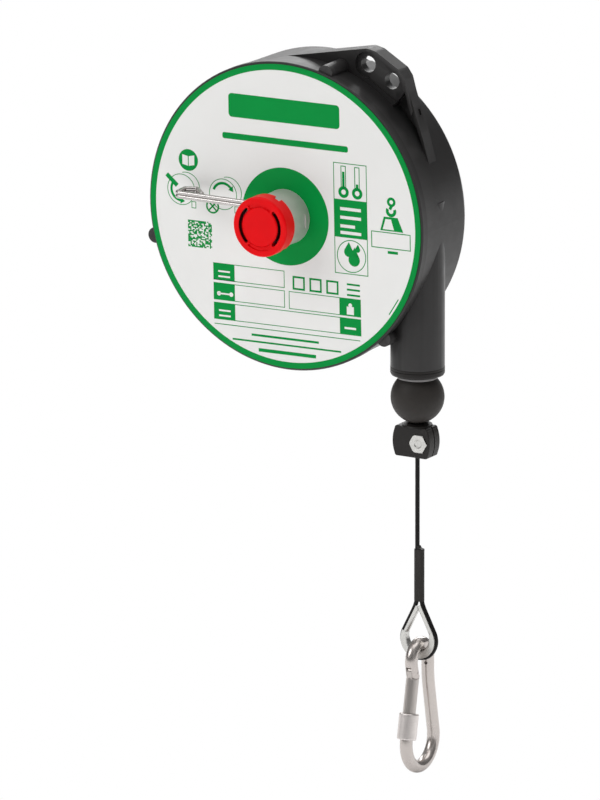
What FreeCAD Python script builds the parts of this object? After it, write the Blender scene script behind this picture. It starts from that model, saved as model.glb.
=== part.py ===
import FreeCAD, Part
import os
import math

# Tool balancer: a round spring-drum housing hung from a lug, with a rope that
# leaves a vertical outlet tube, a rubber buffer, a rope clamp, a thimble and a
# screw-sleeve carabiner.  Millimetres.
#
# Drawing frame of the sizes below: origin on the drum axis at the front face
# of the dial plate, X to the right, Y into the housing, Z up.  Every solid is
# moved at the end so that the part's origin is the middle of the main
# suspension hole.

V = FreeCAD.Vector
os.makedirs("parts", exist_ok=True)

# ---------------------------------------------------------------- dimensions
HOOK_HOLE = (56.7, 25.0, 81.2)     # main suspension hole, centre
SAFETY_HOLE = (41.3, 25.0, 89.1)   # second hole, for the safety chain
LUG_HOLE_R = 4.75

COVER_R = 89.4                     # front cover, outer radius
LABEL_R = 88.0                     # dial plate
LABEL_T = 0.5
COVER_Y0 = 0.5                     # front face of the cover
COVER_WALL_Y = 4.0                 # inner face of the cover
SPLIT_Y = 6.0                      # plane where cover and housing meet
HOUSING_R0 = 89.0                  # housing outer radius at the split
HOUSING_R1 = 87.6                  # housing outer radius near the back
HOUSING_BACK_Y = 54.0
HOUSING_EDGE_R = 4.0               # rounding of the rear edge
CAVITY_R0 = 85.6
CAVITY_R1 = 84.9
CAVITY_BACK_Y = 50.8

EAR_R = 4.5                        # screw bosses round the rim
EAR_PCR = 89.5
EAR_ANGLES = (74.0, 194.5, 314.5)
SCREW_R = 1.9

LUG_Y0, LUG_Y1 = 20.4, 30.4        # suspension lug, front and back
LUG_WEB_Y0, LUG_WEB_Y1 = 22.2, 27.8

ROPE_X, ROPE_Y = 72.5, 24.0        # vertical line of the rope
ROPE_R = 1.25
TUBE_R = 15.45
TUBE_BORE_R = 11.5
TUBE_Z = -82.7                     # lower end of the tube
CAP_Z = -87.9                      # lower end of the end cap
CAP_R = 15.5
BUSH_Z = -89.7                     # lower face of the guide bush
BUSH_R = 11.6

BALL_Z = -100.8
BALL_R = 15.3
BALL_TOP = -90.0
BALL_BOTTOM = -115.7

CLAMP_X = 71.6
CLAMP_W, CLAMP_H, CLAMP_D = 24.2, 17.7, 12.2
CLAMP_TOP = -117.6
CLAMP_GAP = 0.9
CLAMP_SCREW_X = 76.4
CLAMP_SCREW_Z = -126.85
HEX_AF = 10.0                      # M6 hexagon

ROPE2_X = 75.02                    # return strand beside the rope
FERRULE_Z0, FERRULE_Z1 = -217.5, -192.5
SLEEVE_Z0, SLEEVE_Z1 = -220.3, -190.0
SLEEVE_TIP = -188.0

THIMBLE_X = 73.76
THIMBLE_Z = -242.7
THIMBLE_IN = 5.9                   # innermost radius of the crown
THIMBLE_EYE_R = 7.7                # eye opening
THIMBLE_EYE_UP = 1.7               # its centre above the crown's
THIMBLE_ROPE = 10.9                # radius of the rope round it
THIMBLE_FLANGE = 11.0               # flange radius round the crown
THIMBLE_LEG_FLANGE = 9.9            # lower on the left leg, where it was pressed in
THIMBLE_HALF = 2.3                 # half the width across the flanges
APEX_Z = -221.0                    # where the two strands part

CARAB_X = 74.2                     # plane of the carabiner
CARAB_Y = 24.0
BAR_R = 3.65
EYE_Y, EYE_Z = 23.7, -254.2        # round eye at the narrow end
ARC_TOP = 9.4                      # its centre-line radius
BOW_Z = -301.5                     # centre of the wide end
ARC_BOT = 15.45                    # centre-line radius, wide end
GATE_TILT, SPINE_TILT = 11.37, 10.8
KNEE_GATE = (15.96, -263.06)       # where the bar bends at the hinge
KNEE_SPINE_Z = -265.0              # where the back of the frame bends
PIN_UP = 3.7                       # gate pin above the bend
FORK_R = 4.0
GATE_R = 3.7
GATE_GAP = 0.35                    # between the gate's end and the nose
SLEEVE_LEN = 15.0
SLEEVE_R = 5.6

BOSS_R = 15.8                      # die-cast boss of the load adjuster
BOSS_Y = -19.2
BOSS_SPIGOT_R = 13.0
KNOB_R0, KNOB_R1 = 17.4, 17.4
KNOB_Y = -28.8
KNOB_DISC_R = 11.5
KNOB_SLOT_R0, KNOB_SLOT_R1 = 11.6, 13.8
NOTCH_ANGLES = (66.0, 186.0, 306.0)

ARBOR_R = 8.0
BUSH_CLEAR = 0.05

WIRE_R = 1.2                       # wire lever, two strands
LEVER_Y = -17.65
WIRE_Z = 9.15                      # height of the two strands
LEVER_Z = 9.65
LEVER_PIN_X = -5.0
LEVER_PIN_Y = -17.2

DRUM_RINGS = ((24.0, 72.5), (27.75, 74.0), (31.5, 75.5), (35.25, 77.0), (39.0, 78.5))
SPRING_Y0, SPRING_Y1 = 15.0, 34.0
SPRING_T = 0.9

ORIGIN = V(-HOOK_HOLE[0], -HOOK_HOLE[1], -HOOK_HOLE[2])
X, Y, Z = V(1, 0, 0), V(0, 1, 0), V(0, 0, 1)


# ------------------------------------------------------------------- helpers
def put(name, shape):
    s = shape.copy()
    s.translate(ORIGIN)
    s.exportStep("parts/%s.step" % name)
    print("%-18s solids %d valid %s volume %.1f" % (name, len(s.Solids), s.isValid(), s.Volume))


def group(shapes):
    return Part.makeCompound(shapes)


def cyl_y(x, z, r, y0, y1):
    return Part.makeCylinder(r, y1 - y0, V(x, y0, z), Y)


def cyl_z(x, y, r, z0, z1):
    return Part.makeCylinder(r, z1 - z0, V(x, y, z0), Z)


def cyl_x(y, z, r, x0, x1):
    return Part.makeCylinder(r, x1 - x0, V(x0, y, z), X)


def cyl_between(p, q, r):
    d = q.sub(p)
    return Part.makeCylinder(r, d.Length, p, d)


def box(x0, x1, y0, y1, z0, z1):
    return Part.makeBox(x1 - x0, y1 - y0, z1 - z0, V(x0, y0, z0))


def turned(points, axis_point=V(0, 0, 0), axis=Y):
    """Solid turned about the Y axis from (radius, y) points."""
    pts = [V(r, y, 0) for r, y in points]
    wire = Part.makePolygon(pts + [pts[0]])
    return Part.Face(wire).revolve(axis_point, axis, 360)


def turned_z(points, x, y):
    """Solid turned about a vertical axis from (radius, z) points."""
    pts = [V(x + r, y, z) for r, z in points]
    wire = Part.makePolygon(pts + [pts[0]])
    return Part.Face(wire).revolve(V(x, y, 0), Z, 360)


def slab(points, y0, y1):
    """Plate with an (x, z) outline between two y planes."""
    pts = [V(x, y0, z) for x, z in points]
    wire = Part.makePolygon(pts + [pts[0]])
    return Part.Face(wire).extrude(V(0, y1 - y0, 0))


def hexagon(x, z, af, y0, y1, turn=0.0):
    r = af / math.sqrt(3.0)
    pts = [(x + r * math.cos(math.radians(turn + 60 * i)),
            z + r * math.sin(math.radians(turn + 60 * i))) for i in range(6)]
    return slab(pts, y0, y1)


def polar(r, deg):
    return r * math.cos(math.radians(deg)), r * math.sin(math.radians(deg))


def ring_sector(r0, r1, a0, a1, y0, y1):
    """Part of a flat ring, square ends, between two angles."""
    def p(r, a, y=y0):
        x, z = polar(r, a)
        return V(x, y, z)
    am = (a0 + a1) / 2.0
    e = [Part.Arc(p(r1, a0), p(r1, am), p(r1, a1)).toShape(),
         Part.LineSegment(p(r1, a1), p(r0, a1)).toShape(),
         Part.Arc(p(r0, a1), p(r0, am), p(r0, a0)).toShape(),
         Part.LineSegment(p(r0, a0), p(r1, a0)).toShape()]
    return Part.Face(Part.Wire(e)).extrude(V(0, y1 - y0, 0))


def slot_sector(rm, half, a0, a1, y0, y1):
    """Curved slot with round ends, centred on radius rm."""
    s = ring_sector(rm - half, rm + half, a0, a1, y0, y1)
    for a in (a0, a1):
        x, z = polar(rm, a)
        s = s.fuse(cyl_y(x, z, half, y0, y1))
    return s


def torus_arc(rm, r, y, a0, a1):
    """Piece of a ring of round section about the Y axis."""
    x0, z0 = polar(rm, a0)
    tangent = V(-math.sin(math.radians(a0)), 0, math.cos(math.radians(a0)))
    c = Part.makeCircle(r, V(x0, y, z0), tangent)
    f = Part.Face(Part.Wire(c))
    return f.revolve(V(0, y, 0), V(0, -1, 0), a1 - a0)


def pipe(edges, r):
    """Round bar along tangent-continuous lines and arcs."""
    wire = Part.Wire(edges)
    e0 = edges[0]
    start = e0.valueAt(e0.FirstParameter)
    tan = e0.tangentAt(e0.FirstParameter)
    sec = Part.Wire(Part.makeCircle(r, start, tan))
    return wire.makePipeShell([sec], True, False)


def line(p, q):
    return Part.LineSegment(p, q).toShape()


def arc3(p, q, s):
    return Part.Arc(p, q, s).toShape()


def rounded_path(points, radii):
    """Edges of a route: straight runs joined by tangent arcs."""
    edges = []
    last = points[0]
    for i in range(1, len(points) - 1):
        a, b, c = points[i - 1], points[i], points[i + 1]
        u = a.sub(b).normalize()
        w = c.sub(b).normalize()
        half = u.getAngle(w) / 2.0
        r = radii[i - 1]
        t = r / math.tan(half)
        p = b.add(V(u).multiply(t))
        q = b.add(V(w).multiply(t))
        bis = u.add(w).normalize()
        mid = b.add(V(bis).multiply(r / math.sin(half) - r))
        edges.append(line(last, p))
        edges.append(arc3(p, mid, q))
        last = q
    edges.append(line(last, points[-1]))
    return edges


def fillet_where(shape, r, test, what=""):
    """Round the edges that a test picks; left sharp if that fails."""
    edges = [e for e in shape.Edges if test(e)]
    if not edges:
        print("no edges:", what)
        return shape
    try:
        out = shape.makeFillet(r, edges)
        if out.isValid() and out.Volume > 0:
            return out
    except Exception:
        pass
    done = shape
    count = 0
    for e in edges:
        try:
            mids = e.valueAt((e.FirstParameter + e.LastParameter) / 2.0)
            cand = [k for k in done.Edges
                    if k.valueAt((k.FirstParameter + k.LastParameter) / 2.0).distanceToPoint(mids) < 1e-3]
            out = done.makeFillet(r, cand)
            if out.isValid() and out.Volume > 0:
                done = out
                count += 1
        except Exception:
            pass
    print("fillet %s: %d of %d edges" % (what, count, len(edges)))
    return done


# ------------------------------------------------------------ housing (rear)
er = HOUSING_EDGE_R
outer_pts = [V(0, SPLIT_Y, 0), V(HOUSING_R0, SPLIT_Y, 0), V(HOUSING_R1, HOUSING_BACK_Y - er, 0)]
k = er * (1 - math.sqrt(0.5))
outer_edges = [line(outer_pts[0], outer_pts[1]), line(outer_pts[1], outer_pts[2]),
               arc3(outer_pts[2], V(HOUSING_R1 - k, HOUSING_BACK_Y - k, 0), V(HOUSING_R1 - er, HOUSING_BACK_Y, 0)),
               line(V(HOUSING_R1 - er, HOUSING_BACK_Y, 0), V(0, HOUSING_BACK_Y, 0)),
               line(V(0, HOUSING_BACK_Y, 0), outer_pts[0])]
housing = Part.Face(Part.Wire(outer_edges)).revolve(V(0, 0, 0), Y, 360)

# screw bosses down the outside
for a in EAR_ANGLES:
    x, z = polar(EAR_PCR, a)
    housing = housing.fuse(cyl_y(x, z, EAR_R, SPLIT_Y, 52.0 if a != 74.0 else LUG_Y0 + 3))

# suspension lug: plate with a rim, rising to the left of the rope line
lug_pts = [(-21.0, 79.0), (-15.5, 86.9), (41.4, 98.6), (47.0, 97.4), (62.4, 88.4), (65.6, 84.0), (70.6, 66.0), (66.0, 40.0), (20.0, 60.0)]
lug = slab(lug_pts, LUG_Y0, LUG_Y1)
lug = fillet_where(lug, 5.0, lambda e: abs(e.tangentAt(e.FirstParameter).y) > 0.99
                   and e.valueAt(e.FirstParameter).z > 80 and e.valueAt(e.FirstParameter).x > 35, "lug corners")
# thinner web round the holes
web_cut_f = slab([(41.3, 81.4), (41.3, 96.4), (46.0, 95.0), (61.0, 86.4), (63.6, 82.6), (66.4, 72.0), (60.0, 70.0)], LUG_Y0 - 1, LUG_WEB_Y0)
web_cut_b = slab([(6.0, 88.0), (12.0, 90.6), (41.4, 96.2), (46.0, 95.0), (61.0, 86.4), (63.6, 82.6), (66.4, 72.0), (60.0, 70.0)], LUG_WEB_Y1, LUG_Y1 + 1)
web_cut_f = fillet_where(web_cut_f, 2.0, lambda e: abs(e.tangentAt(e.FirstParameter).y) > 0.99, "web pocket")
web_cut_b = fillet_where(web_cut_b, 1.2, lambda e: abs(e.tangentAt(e.FirstParameter).y) > 0.99, "web pocket rear")
# the front pocket ends in an arc round the safety hole
web_cut_f = web_cut_f.fuse(cyl_y(SAFETY_HOLE[0], SAFETY_HOLE[2], 7.6, LUG_Y0 - 1, LUG_WEB_Y0))
lug = lug.cut(web_cut_f).cut(web_cut_b)
# the plate ends on a slant; below it the casing falls back behind a thin rib
recess = slab([(50.0, 60.0), (57.4, 66.5), (66.0, 76.6), (68.6, 67.4), (75.2, 49.3), (77.6, 43.0), (70.0, 40.0)], LUG_Y0 - 1, 27.4)
lug = lug.cut(recess)
housing = housing.fuse(lug)
# long gusset that runs from the lug down the casing
gusset = slab([(60.0, 60.0), (66.6, 79.5), (70.6, 68.0), (75.9, 53.26), (80.9, 36.0), (75.0, 33.0)], LUG_Y0 + 1.6, LUG_Y1).cut(recess)
# short moulded dimple on the rib's outer side
for along in (-0.9, 0.0, 0.9):
    gusset = gusset.cut(Part.makeCylinder(1.1, 2.0, V(72.0 + 0.941 + 0.3385 * along, 27.0, 64.1 + 0.3385 - 0.941 * along), V(-0.941, 0, -0.3385)))
housing = housing.fuse(gusset)

# outlet tube
housing = housing.fuse(cyl_z(ROPE_X, ROPE_Y, TUBE_R, TUBE_Z, 14.0).common(
    box(0, 200, SPLIT_Y, 60, -200, 100)))

# cavity, rear bearing hub, tube bore
cav = turned([(0, SPLIT_Y - 1), (CAVITY_R0, SPLIT_Y - 1), (CAVITY_R1, CAVITY_BACK_Y - 3.5),
              (CAVITY_R1 - 3.5, CAVITY_BACK_Y), (0, CAVITY_BACK_Y)])
housing = housing.cut(cav)
housing = housing.fuse(cyl_y(0, 0, 14.0, 43.3, CAVITY_BACK_Y + 0.5))
housing = housing.cut(cyl_y(0, 0, 10.5, 42.5, 50.9))
housing = housing.cut(cyl_z(ROPE_X, ROPE_Y, TUBE_BORE_R, TUBE_Z - 1, -30.0))
# screw holes: clearance from the split, head pockets from the back
for a in EAR_ANGLES:
    x, z = polar(EAR_PCR, a)
    back = 60.0
    head = 48.5 if a != 74.0 else 19.5
    housing = housing.cut(cyl_y(x, z, SCREW_R + 0.3, SPLIT_Y - 1, back))
    housing = housing.cut(cyl_y(x, z, 3.55, head, LUG_Y0 + 3.1 if a == 74.0 else back))
    if a == 74.0:
        # access for the driver through the lug root
        housing = housing.cut(cyl_y(x, z, 3.55, LUG_Y0 - 0.5, back))
for hx, hz in ((SAFETY_HOLE[0], SAFETY_HOLE[2]), (HOOK_HOLE[0], HOOK_HOLE[2])):
    housing = housing.cut(cyl_y(hx, hz, LUG_HOLE_R, 10, 40))
# seal groove in the front face, rear face relief ring
housing = housing.cut(turned([(86.5, SPLIT_Y - 1), (87.7, SPLIT_Y - 1), (87.7, SPLIT_Y + 1.2), (86.5, SPLIT_Y + 1.2)]))
housing = housing.cut(turned([(30.0, HOUSING_BACK_Y - 0.8), (74.0, HOUSING_BACK_Y - 0.8), (75.0, HOUSING_BACK_Y + 1), (29.0, HOUSING_BACK_Y + 1)]))
housing = housing.removeSplitter()
put("housing", housing)

# --------------------------------------------------------------- front cover
cover = turned([(0, COVER_Y0), (COVER_R - 0.7, COVER_Y0), (COVER_R, COVER_Y0 + 0.7), (COVER_R, SPLIT_Y),
                (85.3, SPLIT_Y), (85.3, SPLIT_Y + 2.5), (82.5, SPLIT_Y + 2.5), (81.5, COVER_WALL_Y), (0, COVER_WALL_Y)])
for a in EAR_ANGLES:
    x, z = polar(EAR_PCR, a)
    cover = cover.fuse(cyl_y(x, z, EAR_R, 2.2, SPLIT_Y))
for a in EAR_ANGLES:
    x, z = polar(EAR_PCR, a)
    cover = cover.cut(cyl_y(x, z, SCREW_R, 3.2, SPLIT_Y + 1))
cover = cover.cut(cyl_y(0, 0, BOSS_SPIGOT_R, -1, 20)).removeSplitter()
put("front_cover", cover)

put("label_plate", cyl_y(0, 0, LABEL_R, 0, LABEL_T).cut(cyl_y(0, 0, BOSS_SPIGOT_R, -1, 2)))
put("cover_seal", turned([(86.5, SPLIT_Y), (87.7, SPLIT_Y), (87.7, SPLIT_Y + 1.2), (86.5, SPLIT_Y + 1.2)]))

screws = []
for a in EAR_ANGLES:
    x, z = polar(EAR_PCR, a)
    head = 48.5 if a != 74.0 else 19.5
    s = cyl_y(x, z, SCREW_R, 3.4, head).fuse(cyl_y(x, z, 3.4, head, head + 3.2))
    s = s.cut(hexagon(x, z, 3.0, head + 1.2, head + 4))
    screws.append(s)
put("cover_screws", group(screws))

# -------------------------------------------------- adjuster boss and bearing
boss = turned([(8.4, BOSS_Y - 2.6), (14.3, BOSS_Y - 2.6), (14.3, BOSS_Y), (BOSS_R - 0.5, BOSS_Y), (BOSS_R, BOSS_Y + 0.5),
               (BOSS_R, 0), (BOSS_SPIGOT_R, 0), (BOSS_SPIGOT_R, 7.5), (9.5, 7.5), (9.5, -14.0), (8.4, -14.0)])
# slot for the wire lever, open to the left
slot = box(-20.0, -2.6, -19.2, -15.0, LEVER_Z - 2.0, LEVER_Z + 2.0)
boss = boss.cut(slot).cut(box(-20.0, -5.9, -19.2, -15.0, WIRE_Z - 2.65, WIRE_Z + 2.75))
# flat milled on the right side
flat = box(15.1, 20.0, -10.5, -3.6, -9.0, 9.0)
boss = boss.cut(flat)
# pin hole
boss = boss.cut(cyl_z(LEVER_PIN_X, LEVER_PIN_Y, 0.98, LEVER_Z - 2.3, 20.0))
put("adjuster_boss", boss)
put("boss_nut", cyl_y(0, 0, 19.0, COVER_WALL_Y, 7.4).common(hexagon(0, 0, 34.0, 0, 10)).cut(cyl_y(0, 0, BOSS_SPIGOT_R, 0, 10)))
put("front_bush", cyl_y(0, 0, 9.5, -14.0, 5.5).cut(cyl_y(0, 0, ARBOR_R + BUSH_CLEAR, -20, 10)))
put("rear_bush", cyl_y(0, 0, 10.5, 43.5, 50.5).cut(cyl_y(0, 0, ARBOR_R + BUSH_CLEAR, 30, 60)))
put("lever_pin", cyl_z(LEVER_PIN_X, LEVER_PIN_Y, 0.98, LEVER_Z - 2.3, LEVER_Z + 3.8))

# -------------------------------------------------------------------- arbor
arbor = cyl_y(0, 0, ARBOR_R, -21.4, 50.1)
arbor = arbor.fuse(box(-5.5, 5.5, -25.9, -21.0, -5.5, 5.5))
arbor = arbor.cut(turned([(7.3, 7.8), (9, 7.8), (9, 8.7), (7.3, 8.7)]))
arbor = arbor.cut(cyl_y(0, 0, 2.5, -27, -10))
put("arbor_shaft", arbor)
clip = turned([(7.3, 7.8), (10.2, 7.8), (10.2, 8.7), (7.3, 8.7)]).cut(box(-1.6, 1.6, 7, 9.5, -12, -5))
put("arbor_circlip", clip)
hub = cyl_y(0, 0, 12.0, SPRING_Y0 - 0.5, SPRING_Y1 + 0.4).cut(cyl_y(0, 0, ARBOR_R, 0, 50))
hub = hub.cut(box(8.4, 13.0, SPRING_Y0 - 1, SPRING_Y1 + 1, -0.9, 0.9))
put("spring_hub", hub)

# -------------------------------------------------------------- adjuster knob
knob = turned([(0, KNOB_Y), (KNOB_R0 - 1.0, KNOB_Y), (KNOB_R0 - 0.3, KNOB_Y + 0.3), (KNOB_R0, KNOB_Y + 1.0), (KNOB_R1, BOSS_Y - 0.1),
               (14.9, BOSS_Y - 0.1), (14.9, KNOB_Y + 4.3), (10.6, KNOB_Y + 4.3), (10.6, -22.2), (0, -22.2)])
for a in NOTCH_ANGLES:
    n = box(13.6, 20.0, -22.4, BOSS_Y + 1, -2.0, 2.0)
    n.rotate(V(0, 0, 0), V(0, -1, 0), a)
    knob = knob.cut(n)
rm = (KNOB_SLOT_R0 + KNOB_SLOT_R1) / 2.0
hw = (KNOB_SLOT_R1 - KNOB_SLOT_R0) / 2.0
for a0, a1 in ((-46, 46), (134, 226)):
    knob = knob.cut(slot_sector(rm, hw, a0, a1, KNOB_Y - 1, KNOB_Y + 4.6))
for a0, a1 in ((56, 124), (236, 304)):
    knob = knob.cut(ring_sector(KNOB_SLOT_R0, KNOB_SLOT_R1, a0, a1, KNOB_Y - 1, KNOB_Y + 0.7))
knob = knob.cut(cyl_y(0, 0, KNOB_DISC_R, KNOB_Y - 1, KNOB_Y + 1.4))
knob = knob.cut(box(-5.55, 5.55, -26.0, -20, -5.55, 5.55))
knob = knob.cut(cyl_y(0, 0, 2.7, KNOB_Y, -20))
put("adjuster_knob", knob)
cap = turned([(0, KNOB_Y), (KNOB_DISC_R - 0.5, KNOB_Y), (KNOB_DISC_R, KNOB_Y + 0.4), (KNOB_DISC_R, KNOB_Y + 1.3), (0, KNOB_Y + 1.3)])
put("knob_cap", cap)
ks = cyl_y(0, 0, 2.5, -27.35, -14.0).cut(hexagon(0, 0, 2.6, -27.5, -25.7))
put("knob_screw", ks)

# ---------------------------------------------------------------------- drum
def cone_r(y):
    return 72.2 + 0.4 * (y - 24.0)


drum = turned([(62.0, 12.0), (68.5, 12.0), (68.5, 20.2), (76.0, 20.2), (76.0, 21.8), (cone_r(22.0), 22.0),
               (cone_r(40.9), 40.9), (82.0, 40.9), (82.0, 42.4), (70.0, 42.4), (66.0, 40.0), (10.0, 40.0),
               (10.0, 35.2), (16.0, 35.2), (20.0, 37.0), (60.0, 37.0), (62.0, 35.0)])
for y, r in DRUM_RINGS:
    drum = drum.cut(Part.makeTorus(r, ROPE_R + 0.06, V(0, y, 0), Y))
ax, az = polar(78.5, 345.0)
drum = drum.cut(cyl_y(ax, az, 2.7, 36.6, 43.0))
for i in range(6):
    x, z = polar(41.0, 30 + 60 * i)
    drum = drum.cut(cyl_y(x, z, 9.0, 34, 44))
hole_angles = (0, 90, 180, 270)
for a in hole_angles:
    x, z = polar(65.2, a + 45)
    drum = drum.cut(cyl_y(x, z, 1.25, 11, 19))
hx, hz = polar(63.2, 90.0)
put("rope_drum", drum)
put("rope_anchor", cyl_y(ax, az, 2.6, 36.7, 42.3))
rings = []
for i, (y, r) in enumerate(DRUM_RINGS):
    end = 344.0 if i == 0 else (340.0 if i == len(DRUM_RINGS) - 1 else 359.0)
    rings.append(torus_arc(r, ROPE_R, y, 0.0, end))
put("rope_on_drum", group(rings))
put("drum_bushes", group([cyl_y(0, 0, 10.0, 35.2, 40.3).cut(cyl_y(0, 0, ARBOR_R + BUSH_CLEAR, 30, 50)),
                          cyl_y(0, 0, 10.0, 9.0, 14.0).cut(cyl_y(0, 0, ARBOR_R + BUSH_CLEAR, 0, 20))]))
sc = turned([(10.0, 9.0), (14.0, 9.0), (14.0, 10.2), (68.0, 10.2), (68.0, 12.0), (61.6, 12.0), (61.6, 13.0), (14.0, 13.0), (14.0, 14.0), (10.0, 14.0)])
for a in hole_angles:
    x, z = polar(65.2, a + 45)
    sc = sc.cut(cyl_y(x, z, 1.25, 5, 19))
put("spring_cover", sc)
ds = []
for a in hole_angles:
    x, z = polar(65.2, a + 45)
    ds.append(cyl_y(x, z, 1.25, 10.2, 18.5).fuse(cyl_y(x, z, 2.6, 8.4, 10.2)).cut(hexagon(x, z, 2.0, 8, 9.4)))
put("drum_screws", group(ds))

# flat spiral spring: half-turn arcs, open near the arbor, packed at the rim
rs = [13.4]
for i in range(8):
    rs.append(rs[-1] + 2.4)
while rs[-1] < 42.0:
    rs.append(rs[-1] + 1.4)
while rs[-1] < 59.8:
    rs.append(rs[-1] + 0.72)


def spiral_side(extra):
    e = []
    pts = []
    for i, r in enumerate(rs):
        s = 1.0 if i % 2 == 0 else -1.0
        pts.append(s * (r + extra))
    for i in range(len(pts) - 1):
        a, b = pts[i], pts[i + 1]
        c = (a + b) / 2.0
        rad = abs(a - b) / 2.0
        up = 1.0 if i % 2 == 0 else -1.0
        e.append(arc3(V(a, SPRING_Y0, 0), V(c, SPRING_Y0, up * rad), V(b, SPRING_Y0, 0)))
    return e, pts


e_in, p_in = spiral_side(0.0)
e_out, p_out = spiral_side(SPRING_T)
loop = e_in + [line(V(p_in[-1], SPRING_Y0, 0), V(p_out[-1], SPRING_Y0, 0))] + list(reversed(e_out)) + \
    [line(V(p_out[0], SPRING_Y0, 0), V(p_in[0], SPRING_Y0, 0))]
spring = Part.Face(Part.Wire(Part.__sortEdges__(loop))).extrude(V(0, SPRING_Y1 - SPRING_Y0, 0))
put("spiral_spring", spring)

# ------------------------------------------------------------- outlet fittings
cap_pts = [(8.0, TUBE_Z), (8.0, CAP_Z), (CAP_R - 1.7, CAP_Z), (CAP_R - 0.5, CAP_Z + 0.5), (CAP_R, CAP_Z + 1.5), (CAP_R, TUBE_Z - 1.8), (CAP_R - 0.3, TUBE_Z - 1.6), (CAP_R, TUBE_Z - 1.4), (CAP_R, TUBE_Z - 0.3), (CAP_R - 0.3, TUBE_Z),
           (TUBE_BORE_R, TUBE_Z), (TUBE_BORE_R, -75.0), (9.4, -75.0), (8.0, -76.5)]
outlet = turned_z(cap_pts, ROPE_X, ROPE_Y)
put("outlet_cap", outlet)
bush_pts = [(4.4, BUSH_Z), (BUSH_R - 0.4, BUSH_Z), (BUSH_R, BUSH_Z + 0.4), (BUSH_R, CAP_Z), (8.0, CAP_Z), (8.0, -76.5), (6.2, -76.5), (2.4, -80.0), (2.4, -86.5)]
put("guide_bush", turned_z(bush_pts, ROPE_X, ROPE_Y))

# ---------------------------------------------------------------- rope pieces
put("rope_upper", cyl_z(ROPE_X, ROPE_Y, ROPE_R, BALL_TOP, 0.0))


def tangent_point(px, pz, cx, cz, r, side):
    dx, dz = cx - px, cz - pz
    d = math.hypot(dx, dz)
    base = math.atan2(dz, dx)
    off = math.asin(r / d)
    a = base + side * off
    ln = math.sqrt(d * d - r * r)
    return px + ln * math.cos(a), pz + ln * math.sin(a)


def around(r, y, xl, xr, z_apex, z_left, z_right, corner):
    """Rope route down one side, round the thimble and up the other."""
    lx, lz = tangent_point(xl, z_apex, THIMBLE_X, THIMBLE_Z, r, -1)
    rx, rz = tangent_point(xr, z_apex, THIMBLE_X, THIMBLE_Z, r, +1)
    P = lambda a, b: V(a, y, b)
    left = rounded_path([P(xl, z_left), P(xl, z_apex), P(lx, lz)], [corner])
    right = rounded_path([P(rx, rz), P(xr, z_apex), P(xr, z_right)], [corner])
    mid = arc3(P(lx, lz), P(THIMBLE_X, THIMBLE_Z - r), P(rx, rz))
    return left + [mid] + right


# the route's points: straight down, four equal turns round the thimble, straight up into the sleeve
ROUTE = [(ROPE_X, BALL_TOP), (ROPE_X, APEX_Z)]
r0 = math.degrees(math.atan2(*reversed([b - a for a, b in zip((THIMBLE_X, THIMBLE_Z), tangent_point(ROPE_X, APEX_Z, THIMBLE_X, THIMBLE_Z, THIMBLE_ROPE, -1))])))
r1 = math.degrees(math.atan2(*reversed([b - a for a, b in zip((THIMBLE_X, THIMBLE_Z), tangent_point(ROPE2_X, APEX_Z, THIMBLE_X, THIMBLE_Z, THIMBLE_ROPE, +1))])))
turn = ((r1 % 360.0) + 360.0 - (r0 % 360.0)) / 4.0
for i in range(4):
    a = math.radians((r0 % 360.0) + turn * (i + 0.5))
    reach = THIMBLE_ROPE / math.cos(math.radians(turn / 2.0))
    ROUTE.append((round(THIMBLE_X + reach * math.cos(a), 3), round(THIMBLE_Z + reach * math.sin(a), 3)))
ROUTE += [(ROPE2_X, APEX_Z), (ROPE2_X, -192.0)]
print("rope route", ROUTE, "radii 6.0 at the sleeve, %.1f round the thimble, each turn %.1f deg" % (THIMBLE_ROPE, turn))
edges = around(THIMBLE_ROPE, ROPE_Y, ROPE_X, ROPE2_X, APEX_Z, BALL_TOP, -192.0, 6.0)
length = sum(e.Length for e in edges)
rope_lower = pipe(edges, ROPE_R)
print("lower rope length %.1f, volume %.1f against %.1f" % (length, rope_lower.Volume, length * math.pi * ROPE_R ** 2))
put("rope_lower", rope_lower)

ball = Part.makeSphere(BALL_R, V(ROPE_X, ROPE_Y, BALL_Z)).common(box(0, 150, -50, 100, BALL_BOTTOM, BALL_TOP))
ball = ball.cut(cyl_z(ROPE_X, ROPE_Y, ROPE_R + 0.05, -140, -60))
put("rubber_buffer", ball)
collar = turned_z([(ROPE_R + 0.05, CLAMP_TOP), (8.8, CLAMP_TOP), (8.4, CLAMP_TOP + 0.9), (6.6, BALL_BOTTOM), (ROPE_R + 0.05, BALL_BOTTOM)], ROPE_X, ROPE_Y)
put("buffer_collar", collar)

# clamp halves: barrel-sided block, split across the rope
cz = CLAMP_TOP - CLAMP_H / 2.0
hwid, hh, rc, bulge = CLAMP_W / 2.0 - 1.4, CLAMP_H / 2.0, 1.4, 1.4


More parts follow.
